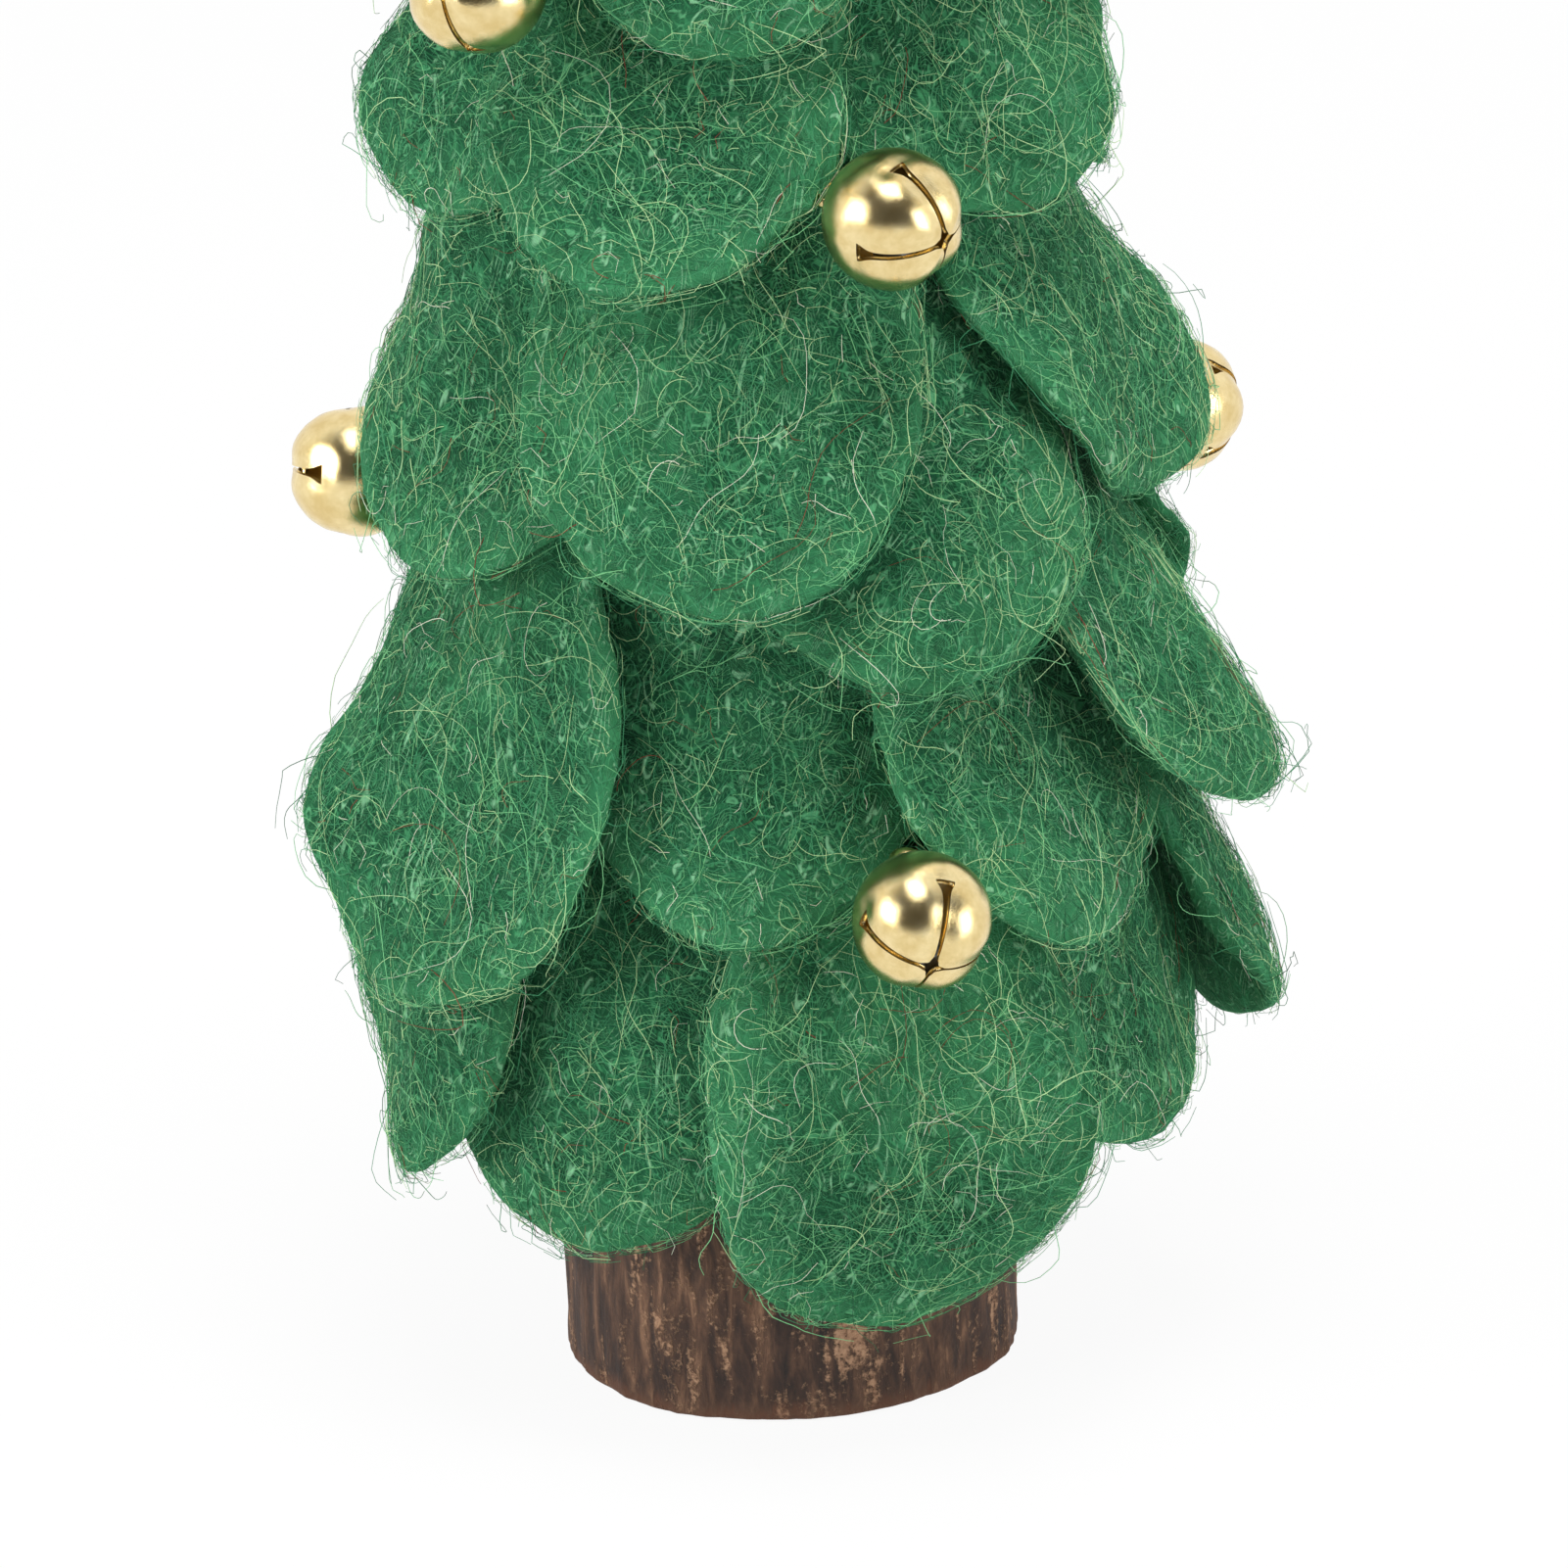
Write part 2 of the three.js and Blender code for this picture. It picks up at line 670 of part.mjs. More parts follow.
const makeBells = (felt) => {
  const shell = makeBellSolid();
  const pocketHigh = 2 * loopRadius;
  const pocket = toSolid(
    new THREE.BoxGeometry(
      2 * loopRadius + loopWire + 2 * loopPocketGap,
      loopWire + 2 * loopPocketGap,
      pocketHigh,
    ).translate(0, 0, -(bellRadius + loopPocketGap + pocketHigh / 2 - loopWire / 2)),
  );
  const facetShare = Math.cos(Math.PI / ballSides) * Math.cos(Math.PI / ballRings / 2);
  const hollowLeast = (bellRadius - bellWall) * facetShare;
  const pelletDrop = hollowLeast - pelletRadius - pelletGap;
  for (const [name, azimuth, rows, poleAzimuth, poleElevation, spin] of bellShares) {
    const height = rowTip(rows);
    const centre = directionOf(azimuth, 0).multiplyScalar(ballRest(azimuth, height)).setZ(height);
    const pole = directionOf(poleAzimuth, poleElevation);
    const side = new THREE.Vector3(0, 0, 1).cross(pole).normalize();
    const basis = new THREE.Matrix4().makeBasis(side, pole.clone().cross(side), pole);
    const placed = new THREE.Matrix4().makeTranslation(centre.x, centre.y, centre.z)
      .multiply(basis)
      .multiply(new THREE.Matrix4().makeRotationZ(radians(spin)));
    const slit = pocket.transform(placed.elements);
    for (const piece of felt) {
      const solid = toSolid(piece.geometry);
      if (solid.intersect(slit).volume() > 0) {
        piece.geometry = fromSolid(solid.subtract(slit));
      }
    }
    const geometry = fromSolid(shell).applyMatrix4(placed);
    group.add(mesh(`bell_${name}_shell`, geometry, '#d4a63a', 0.18, 1));
    const pellet = new THREE.SphereGeometry(pelletRadius, pelletSides, pelletRings)
      .translate(centre.x, centre.y, height - pelletDrop);
    group.add(mesh(`bell_${name}_pellet`, bare(pellet), '#8d8f92', 0.35, 1));
  }
};

const group = new THREE.Group();
group.add(makeLogSlice());
group.add(makeCone());
const felt = lowerRows.flatMap((row, n) => layLowerRow(row, n + 1));
felt.push(...layUpperRows());
felt.push(layBud());
felt.forEach((piece) => group.add(piece));
makeBells(felt);

export default group;
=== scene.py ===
import math

import bmesh
import bpy
import numpy as np
from mathutils import Matrix, Vector, noise
from mathutils.bvhtree import BVHTree


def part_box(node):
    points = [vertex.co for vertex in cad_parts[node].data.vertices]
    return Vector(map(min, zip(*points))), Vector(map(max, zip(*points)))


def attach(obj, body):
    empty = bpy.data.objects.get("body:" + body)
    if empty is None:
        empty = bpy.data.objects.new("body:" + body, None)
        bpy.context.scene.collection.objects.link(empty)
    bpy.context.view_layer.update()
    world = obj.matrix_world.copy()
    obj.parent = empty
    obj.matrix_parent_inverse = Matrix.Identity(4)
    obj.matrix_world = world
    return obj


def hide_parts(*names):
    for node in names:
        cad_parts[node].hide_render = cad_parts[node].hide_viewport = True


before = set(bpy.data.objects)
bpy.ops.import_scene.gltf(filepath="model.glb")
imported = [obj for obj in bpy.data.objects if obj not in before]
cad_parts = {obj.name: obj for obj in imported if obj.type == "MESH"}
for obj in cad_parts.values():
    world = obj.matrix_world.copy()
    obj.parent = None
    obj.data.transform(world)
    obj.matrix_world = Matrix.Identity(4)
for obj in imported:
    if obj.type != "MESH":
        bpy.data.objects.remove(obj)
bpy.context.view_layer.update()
MM = 0.001

# Camera: the tree is seen from the front and a little above, close to its foot, with its top outside the
# picture, and it leans a little to the left in the frame.

CAMERA_PLACE = Vector((0.71, -700, 303.6)) * MM
CAMERA_PITCH = math.radians(20.33)
CAMERA_ROLL = math.radians(1.94)
PICTURE_SIDE = 1601
FOCAL_PIXELS = 10325

view_down = Vector((0, -math.sin(CAMERA_PITCH), -math.cos(CAMERA_PITCH)))
picture_right = math.cos(CAMERA_ROLL) * Vector((1, 0, 0)) + math.sin(CAMERA_ROLL) * view_down
picture_up = math.sin(CAMERA_ROLL) * Vector((1, 0, 0)) - math.cos(CAMERA_ROLL) * view_down
lens = bpy.data.cameras.new("camera")
lens.sensor_width = 36
lens.lens = lens.sensor_width * FOCAL_PIXELS / PICTURE_SIDE
lens.clip_start = 0.01
lens.clip_end = 20
camera = bpy.data.objects.new("camera", lens)
bpy.context.collection.objects.link(camera)
turned = Matrix((picture_right, picture_up, picture_right.cross(picture_up))).transposed()
camera.matrix_world = Matrix.Translation(CAMERA_PLACE) @ turned.to_4x4()
bpy.context.scene.camera = camera


# Foot: a slice sawn from a small branch with its bark left on, so its side is rough and its two ends
# show growth rings. The tree's cone is glued on top of it.


class Wire:
    """An output of a node. Sums, products and powers of wires add the Math nodes that they need."""

    def __init__(self, net, socket):
        self.net = net
        self.socket = socket

    def __getitem__(self, name):
        return Wire(self.net, self.socket.node.outputs[name])

    def is_vector(self):
        return self.socket.type in ("VECTOR", "RGBA", "ROTATION")

    def join(self, operation, first, second):
        pair = (first, second)
        if any(isinstance(value, Wire) and value.is_vector() for value in pair):
            if operation == "MULTIPLY" and not all(isinstance(value, Wire) and value.is_vector() for value in pair):
                vector, number = pair if isinstance(first, Wire) and first.is_vector() else (second, first)
                return self.net.node("ShaderNodeVectorMath", {"operation": "SCALE"}, {0: vector, "Scale": number})
            return self.net.node("ShaderNodeVectorMath", {"operation": operation}, {0: first, 1: second})
        return self.net.node("ShaderNodeMath", {"operation": operation}, {0: first, 1: second})

    def __add__(self, other):
        return self.join("ADD", self, other)

    def __radd__(self, other):
        return self.join("ADD", other, self)

    def __sub__(self, other):
        return self.join("SUBTRACT", self, other)

    def __rsub__(self, other):
        return self.join("SUBTRACT", other, self)

    def __mul__(self, other):
        return self.join("MULTIPLY", self, other)

    def __rmul__(self, other):
        return self.join("MULTIPLY", other, self)

    def __truediv__(self, other):
        return self.join("DIVIDE", self, other)

    def __pow__(self, other):
        return self.join("POWER", self, other)

    def __gt__(self, other):
        return self.join("GREATER_THAN", self, other)

    def __lt__(self, other):
        return self.join("LESS_THAN", self, other)


class Net:
    """A node tree that is filled in by calls."""

    def __init__(self, tree):
        self.tree = tree

    def node(self, kind, settings=None, sockets=None):
        made = self.tree.nodes.new(kind)
        for name, value in (settings or {}).items():
            if name == "stops":
                stops = made.color_ramp.elements
                while len(stops) < len(value):
                    stops.new(0.5)
                for stop, (place, colour) in zip(stops, value):
                    stop.position = place
                    stop.color = (*colour, 1)
            else:
                setattr(made, name, value)
        for key, value in (sockets or {}).items():
            if isinstance(value, Wire):
                self.tree.links.new(value.socket, made.inputs[key])
            else:
                made.inputs[key].default_value = value
        usable = [output for output in made.outputs if output.enabled]
        return Wire(self, usable[0]) if usable else Wire(self, made.inputs[0])

    def grain(self, place, size, detail=3, roughness=0.5, distortion=0, kind="FBM"):
        sockets = {"Vector": place, "Scale": 1 / size, "Detail": detail, "Roughness": roughness}
        sockets["Distortion"] = distortion
        return self.node("ShaderNodeTexNoise", {"noise_type": kind}, sockets)

    def ramp(self, value, stops):
        return self.node("ShaderNodeValToRGB", {"stops": stops}, {"Fac": value})

    def between(self, share, first, second):
        def rgba(colour):
            return colour if isinstance(colour, Wire) else (*colour, 1)

        sockets = {"Factor": share, 6: rgba(first), 7: rgba(second)}
        mixed = self.node("ShaderNodeMix", {"data_type": "RGBA"}, sockets)
        return Wire(self, mixed.socket.node.outputs[2])

    def step(self, value, low, high):
        sockets = {"Value": value, "From Min": low, "From Max": high}
        return self.node("ShaderNodeMapRange", {"interpolation_type": "SMOOTHSTEP"}, sockets)


def tint(red, green, blue):
    """Linear colour of a picture's red, green and blue from 0 to 255."""
    parts = (value / 255 for value in (red, green, blue))
    return tuple(v / 12.92 if v <= 0.04045 else ((v + 0.055) / 1.055) ** 2.4 for v in parts)


def finish_of(name, colour, roughness, normal=None, **fixed):
    """A material of one Principled shader. Colour, roughness and normal may be wires."""
    material = bpy.data.materials[name]
    net = Net(material.node_tree)
    shader = material.node_tree.nodes["Principled BSDF"]
    for socket, value in (("Base Color", colour), ("Roughness", roughness), ("Normal", normal)):
        if isinstance(value, Wire):
            net.tree.links.new(value.socket, shader.inputs[socket])
        elif value is not None:
            shader.inputs[socket].default_value = (*value, 1) if socket == "Base Color" else value
    for socket, value in fixed.items():
        shader.inputs[socket.replace("_", " ")].default_value = value
    return material


def new_material(name):
    """An empty material, its node net and the place on the object that patterns read."""
    material = bpy.data.materials.new(name)
    material.use_nodes = True
    net = Net(material.node_tree)
    return material, net, net.node("ShaderNodeTexCoord")["Object"]


def bump(net, height, depth, normal=None):
    sockets = {"Height": height, "Distance": depth, "Strength": 1.0}
    if normal is not None:
        sockets["Normal"] = normal
    return net.node("ShaderNodeBump", None, sockets)


def mesh_piece(name, points, faces, material):
    """A smooth-shaded object at the origin from points in millimetres."""
    mesh = bpy.data.meshes.new(name)
    mesh.from_pydata([tuple(point) for point in points], [], faces)
    mesh.transform(Matrix.Scale(MM, 4))
    mesh.materials.append(material)
    mesh.shade_smooth()
    piece = bpy.data.objects.new(name, mesh)
    bpy.context.collection.objects.link(piece)
    return piece


LOG_RADIUS = 17
LOG_HEIGHT = 20
LOG_EDGE = 0.8
LOG_WAVES = ((2, 0.7, 0.014), (3, 2.1, 0.009), (7, 4.4, 0.006))
LOG_SIDES = 288
LOG_ROWS = 90
BARK_DEPTH = 0.55
LOG_RINGS = 26

bark, net, place = new_material("bark")
split = net.node("ShaderNodeSeparateXYZ", None, {"Vector": place})
height_mm = split["Z"] / MM
upright = net.node("ShaderNodeCombineXYZ", None, {"X": split["X"], "Y": split["Y"], "Z": split["Z"] * 0.22})
streaks = net.grain(upright, 1.3 * MM, 5, 0.68, 0.4)
patches = net.grain(upright, 2.8 * MM, 4, 0.62, 0.8)
specks = net.grain(place, 0.5 * MM, 3, 0.7)
dark_stops = [(0.3, tint(24, 16, 13)), (0.45, tint(58, 40, 31)), (0.58, tint(92, 66, 50)), (0.7, tint(142, 107, 82))]
dark_bark = net.ramp(streaks, dark_stops)
flaked = net.step(patches + (specks - 0.5) * 0.5, 0.54, 0.68)
pale_bark = net.ramp(specks, [(0.3, tint(124, 87, 62)), (0.7, tint(192, 152, 120))])
bark_colour = net.between(flaked * 0.8, dark_bark, pale_bark)
low_band = (1 - net.step(height_mm + (streaks - 0.5) * 6, 0.2, 1.6)) * 0.4
bark_colour = net.between(low_band, bark_colour, tint(126, 80, 54))
radius = (split["X"] ** 2 + split["Y"] ** 2) ** 0.5
rings = net.grain(place, 9 * MM, 2) * 0.9 + radius / MM * 0.75
grown = net.node("ShaderNodeMath", {"operation": "SINE"}, {0: rings * 2 * math.pi}) * 0.5 + 0.5
pores = net.grain(place, 0.35 * MM, 2, 0.6)
wood_colour = net.ramp(grown * 0.7 + pores * 0.3, [(0.15, tint(170, 128, 88)), (0.85, tint(214, 180, 138))])
sawn = net.node("ShaderNodeNewGeometry")["Normal"]
sawn = net.node("ShaderNodeSeparateXYZ", None, {"Vector": sawn})["Z"]
sawn = net.step(sawn * sawn, 0.5, 0.8) * (1 - net.step(radius / MM + (streaks - 0.5), 15.6, 16.4))
log_colour = net.between(sawn, bark_colour, wood_colour)
log_height = (streaks * 0.5 + specks * 0.2 + flaked * 0.3) * (1 - sawn) + (grown * 0.12 + pores * 0.1) * sawn
finish_of("bark", log_colour, 0.72 + streaks * 0.25, bump(net, log_height, 0.5 * MM))


def bark_relief(angle, z):
    """How far the bark stands in from the outermost radius, in millimetres."""
    round_x, round_y = 17 * math.cos(angle), 17 * math.sin(angle)
    ridges = noise.fractal(Vector((round_x * 0.45, round_y * 0.45, z * 0.1 + 3)), 0.9, 2.1, 4)
    lumps = noise.noise(Vector((round_x * 0.13, round_y * 0.13, z * 0.13 + 9)))
    knot_angle, knot_z = math.radians(-79), 11
    across = (angle - knot_angle + math.pi) % (2 * math.pi) - math.pi
    knot = math.exp(-((across * LOG_RADIUS / 1.3) ** 2) - ((z - knot_z) / 1.1) ** 2)
    return BARK_DEPTH * (0.55 + 0.35 * ridges + 0.25 * lumps) + 0.6 * knot


log_points = [(0, 0, LOG_HEIGHT)]
log_profile = [(share, LOG_HEIGHT) for share in np.linspace(1 / LOG_RINGS, 1, LOG_RINGS)]
log_profile += [(1, z) for z in np.linspace(LOG_HEIGHT, 0, LOG_ROWS)[1:-1]]
log_profile += [(share, 0) for share in np.linspace(1, 1 / LOG_RINGS, LOG_RINGS)]
for share, z in log_profile:
    from_end = min(z, LOG_HEIGHT - z)
    for side in range(LOG_SIDES):
        angle = 2 * math.pi * side / LOG_SIDES
        wave = sum(size * math.sin(count * angle + phase) for count, phase, size in LOG_WAVES)
        outer = LOG_RADIUS * (1 + wave) - bark_relief(angle, z)
        if from_end < LOG_EDGE:
            outer -= LOG_EDGE - math.sqrt(LOG_EDGE**2 - (LOG_EDGE - from_end) ** 2) * (share == 1)
        log_points.append((share * outer * math.cos(angle), share * outer * math.sin(angle), z))
log_points.append((0, 0, 0))
log_faces = [(0, 1 + side, 1 + (side + 1) % LOG_SIDES) for side in range(LOG_SIDES)]
for row in range(len(log_profile) - 1):
    first, second = 1 + row * LOG_SIDES, 1 + (row + 1) * LOG_SIDES
    for side in range(LOG_SIDES):
        after = (side + 1) % LOG_SIDES
        log_faces.append((first + side, second + side, second + after, first + after))
last = 1 + (len(log_profile) - 1) * LOG_SIDES
log_faces += [(len(log_points) - 1, last + (side + 1) % LOG_SIDES, last + side) for side in range(LOG_SIDES)]
log_slice = mesh_piece("log_slice_wood", log_points, log_faces, bark)
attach(log_slice, "tree")
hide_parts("log_slice")


# Core: a cone of fine foam, painted green so that it doesn't show between the petals. The petals'
# heads are glued on it, and only its underside can be seen, round the foot.

CONE_FOOT = 20.3
CONE_HEIGHT = 160
CONE_FOOT_RADIUS = 25.2
CONE_TIP_RADIUS = 1.5
CONE_SIDES = 120

foam, net, place = new_material("painted_foam")
beads = net.node("ShaderNodeTexVoronoi", {"feature": "F1"}, {"Vector": place, "Scale": 1 / (1.6 * MM)})
worn = net.grain(place, 2.4 * MM, 4, 0.6)
foam_colour = net.ramp(worn, [(0.3, tint(24, 62, 44)), (0.7, tint(44, 98, 70))])
finish_of("painted_foam", foam_colour, 0.9, bump(net, 1 - beads, 0.25 * MM))

cone_profile = [(radius, CONE_FOOT) for radius in np.linspace(0, CONE_FOOT_RADIUS - 0.5, 12)[1:]]
cone_profile += [
    (CONE_FOOT_RADIUS - 0.15 + (CONE_TIP_RADIUS - CONE_FOOT_RADIUS) * share, CONE_FOOT + 0.35 + (CONE_HEIGHT - 0.5) * share)
    for share in np.linspace(0, 1, 40)
]
cone_points = [(0, 0, CONE_FOOT)]
for radius, z in cone_profile:
    for side in range(CONE_SIDES):
        angle = 2 * math.pi * side / CONE_SIDES
        cone_points.append((radius * math.cos(angle), radius * math.sin(angle), z))
cone_points.append((0, 0, CONE_FOOT + CONE_HEIGHT))
cone_faces = [(0, 1 + (side + 1) % CONE_SIDES, 1 + side) for side in range(CONE_SIDES)]
for row in range(len(cone_profile) - 1):
    first, second = 1 + row * CONE_SIDES, 1 + (row + 1) * CONE_SIDES
    for side in range(CONE_SIDES):
        after = (side + 1) % CONE_SIDES
        cone_faces.append((first + side, first + after, second + after, second + side))
last = 1 + (len(cone_profile) - 1) * CONE_SIDES
cone_faces += [(len(cone_points) - 1, last + side, last + (side + 1) % CONE_SIDES) for side in range(CONE_SIDES)]
cone = mesh_piece("foam_cone_core", cone_points, cone_faces, foam)
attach(cone, "tree")
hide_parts("foam_cone")


# Petals of the four lower rows: tongues punched out of thick wool felt, overlapped like roof tiles, with
# each head glued under the next row. The felt is soft, so the cut edges are round and a little uneven.

FELT_LEVELS = 2
LUMP_SIZE = 5
LUMP_HEIGHT = 0.22
PILL_SIZE = 1.5
PILL_HEIGHT = 0.12
EDGE_WANDER = 0.35

# Each line gives a layer of matted fibres: its turn about X, Y and Z in degrees, the size of its bends, how
# closely the fibres lie, how much of the felt they cover and their colour.
MATTED_LAYERS = (
    ((20, 0, 35), 3.0, 19, 0.28, tint(38, 104, 66)),
    ((-35, 25, -50), 2.6, 21, 0.34, tint(52, 122, 80)),
    ((60, -30, 80), 3.4, 20, 0.40, tint(66, 140, 94)),
    ((5, 50, 10), 2.8, 23, 0.44, tint(90, 162, 114)),
    ((80, 15, -15), 3.6, 21, 0.51, tint(132, 192, 148)),
)
MATTED_STRETCH = 4

felt, net, place = new_material("wool_felt")
# rim marks the felt's cut edges; below, they are painted a lighter green as a painted highlight
rim = net.node("ShaderNodeAttribute", {"attribute_name": "rim"})["Fac"]
cloudy = net.grain(place, 5 * MM, 3, 0.6)
felt_colour = net.ramp(cloudy, [(0.3, tint(15, 54, 36)), (0.7, tint(34, 92, 62))])
wool_relief = cloudy * 0.4
for number, (turns, size, closeness, bare, colour) in enumerate(MATTED_LAYERS):
    turned = net.node(
        "ShaderNodeMapping",
        {"vector_type": "TEXTURE"},
        {
            "Vector": place,
            "Location": (0.013 * number, 0.007 * number, 0.011 * number),
            "Rotation": tuple(math.radians(turn) for turn in turns),
            "Scale": (1, MATTED_STRETCH, 1),
        },
    )
    bends = net.grain(turned, size * MM, 1, 0.5, 0.7) * closeness * 2 * math.pi
    fibres = net.step(net.node("ShaderNodeMath", {"operation": "SINE"}, {0: bends}), 0.45, 0.98)
    shown = net.step(net.grain(turned, 1.1 * MM, 2, 0.6), bare, bare + 0.1)
    fibres = fibres * shown
    felt_colour = net.between(fibres * 0.85, felt_colour, colour)
    wool_relief = wool_relief * (1 - fibres * 0.5) + fibres * (0.35 + 0.15 * number)
    if number == 0:
        # Painted highlight: the cut edges are painted a lighter green, as where they catch the light
        felt_colour = net.between(rim * 0.5, felt_colour, tint(70, 152, 100))
finish_of(
    "wool_felt",
    felt_colour,
    0.95,
    bump(net, wool_relief, 0.16 * MM),
    Sheen_Weight=0.12,
    Sheen_Roughness=0.5,
    Sheen_Tint=(*tint(150, 220, 160), 1),
    Specular_IOR_Level=0.1,
)


def merged_copy(node):
    """The node's shape with its corners merged and its pairs of triangles joined to quads."""
    shape = bmesh.new()
    shape.from_mesh(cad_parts[node].data)
    bmesh.ops.remove_doubles(shape, verts=shape.verts, dist=0.004 * MM)
    bmesh.ops.join_triangles(
        shape,
        faces=shape.faces,
        angle_face_threshold=math.radians(50),
        angle_shape_threshold=math.radians(70),
    )
    return shape


def soft_felt(node, name):
    """A felt piece in the node's place: rounded, with uneven thickness and a wandering cut edge."""
    shape = merged_copy(node)
    rim_layer = shape.verts.layers.float.new("rim")
    for vertex in shape.verts:
        sharp = [e for e in vertex.link_edges if e.is_manifold and e.calc_face_angle() > math.radians(48)]
        vertex[rim_layer] = 1.0 if sharp else 0.0
    rough = bpy.data.meshes.new(name)
    shape.to_mesh(rough)
    shape.free()
    piece = bpy.data.objects.new(name, rough)
    bpy.context.collection.objects.link(piece)
    rounding = piece.modifiers.new("rounding", "SUBSURF")
    rounding.levels = FELT_LEVELS
    rounding.render_levels = FELT_LEVELS
    soft = bpy.data.meshes.new_from_object(piece.evaluated_get(bpy.context.evaluated_depsgraph_get()))
    piece.modifiers.clear()
    piece.data = soft
    soft.name = name
    places = np.zeros(len(soft.vertices) * 3, dtype=np.float32)
    outward = np.zeros(len(soft.vertices) * 3, dtype=np.float32)
    soft.vertices.foreach_get("co", places)
    soft.vertices.foreach_get("normal", outward)
    moved = []
    for at, normal in zip(places.reshape(-1, 3) / MM, outward.reshape(-1, 3)):
        at = Vector(at)
        lump = noise.noise(at / LUMP_SIZE) * LUMP_HEIGHT + noise.noise(at / PILL_SIZE) * PILL_HEIGHT
        wander = noise.noise_vector(at / 6 + Vector((7, 3, 5))) * EDGE_WANDER
        moved.append(at + Vector(normal) * lump + wander)
    soft.vertices.foreach_set("co", np.array(moved, dtype=np.float32).ravel() * MM)
    soft.update()
    soft.materials.clear()
    soft.materials.append(felt)
    soft.shade_smooth()
    return piece


PETAL_SIZES = {1: (28, 37), 2: (28, 37), 3: (28, 37), 4: (25, 32)}
PETAL_AREA_SHARE = 0.86
felt_pieces = {}
for row, (width, length) in PETAL_SIZES.items():
    for number in range(1, 9):
        node = f"petal_row{row}_{number}"
        felt_pieces[node] = (soft_felt(node, f"felt_{node}"), width, length, PETAL_AREA_SHARE)


# Upper petals: from the fifth row up the petals are smaller, and each row is cut as one strip of felt
# with tongues along its lower edge, wound once round the cone. The last one closes to a pointed bud.

STRIP_SIZES = {
    "strip_row5_under": (104, 25),
    "strip_row5_over": (116, 25),
    "strip_row6_under": (76, 23),
    "strip_row6_over": (88, 23),
    "strip_row7": (70, 23),
    "strip_row8": (46, 23),
    "tip_bud": (28, 31),
}
STRIP_AREA_SHARE = 0.8
for node, (width, length) in STRIP_SIZES.items():
    felt_pieces[node] = (soft_felt(node, f"felt_{node}"), width, length, STRIP_AREA_SHARE)


# Loose wool: the felt is hairy, with a dense short fuzz and long curled fibres that lie over it in pale,
# middle and dark greens, and here and there a red or grey one. They grow only where the felt is open.

OPEN_REACH = 4
INNER_SHARE = 0.12
RIM_EXTRA = 0.6
FIBRE_TINTS = (
    ("fibre_dark", tint(34, 92, 60), 0.14),
    ("fibre_green", tint(62, 140, 96), 0.56),
    ("fibre_light", tint(122, 194, 134), 0.83),
    ("fibre_pale", tint(184, 220, 162), 0.965),
    ("fibre_white", tint(226, 230, 208), 0.988),
    ("fibre_red", tint(132, 56, 46), 1.0),
)

fibre_materials = []
for name, colour, _ in FIBRE_TINTS:
    material, net, place = new_material(name)
    fibre_materials.append(finish_of(name, colour, 0.7, Specular_IOR_Level=0.25))


def mark_open_felt():
    """Stores on each felt piece where nothing lies close over it."""
    corners, polygons, owners = [], [], []
    for node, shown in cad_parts.items():
        first = len(corners)
        corners += [v.co.copy() for v in shown.data.vertices]
        for polygon in shown.data.polygons:
            polygons.append([first + k for k in polygon.vertices])
            owners.append(node)
    tree = BVHTree.FromPolygons(corners, polygons)
    for node, (piece, *_) in felt_pieces.items():
        mesh = piece.data
        free = np.zeros(len(mesh.vertices))
        rims = np.zeros(len(mesh.vertices), dtype=np.float32)
        mesh.attributes["rim"].data.foreach_get("value", rims)
        for vertex in mesh.vertices:
            start, left = vertex.co + vertex.normal * 0.05 * MM, OPEN_REACH * MM
            free[vertex.index] = 1
            for _ in range(4):
                met, _, index, far = tree.ray_cast(start, vertex.normal, left)
                if met is None:
                    break
                if owners[index] != node:
                    free[vertex.index] = 0
                    break
                start, left = met + vertex.normal * 0.01 * MM, left - far
            outer = vertex.co.x * vertex.normal.x + vertex.co.y * vertex.normal.y
            free[vertex.index] *= (1 if outer > 0 else INNER_SHARE) * (1 + RIM_EXTRA * rims[vertex.index])
        attribute = mesh.attributes.new("open", "FLOAT", "POINT")
        attribute.data.foreach_set("value", free.astype(np.float32))


mark_open_felt()


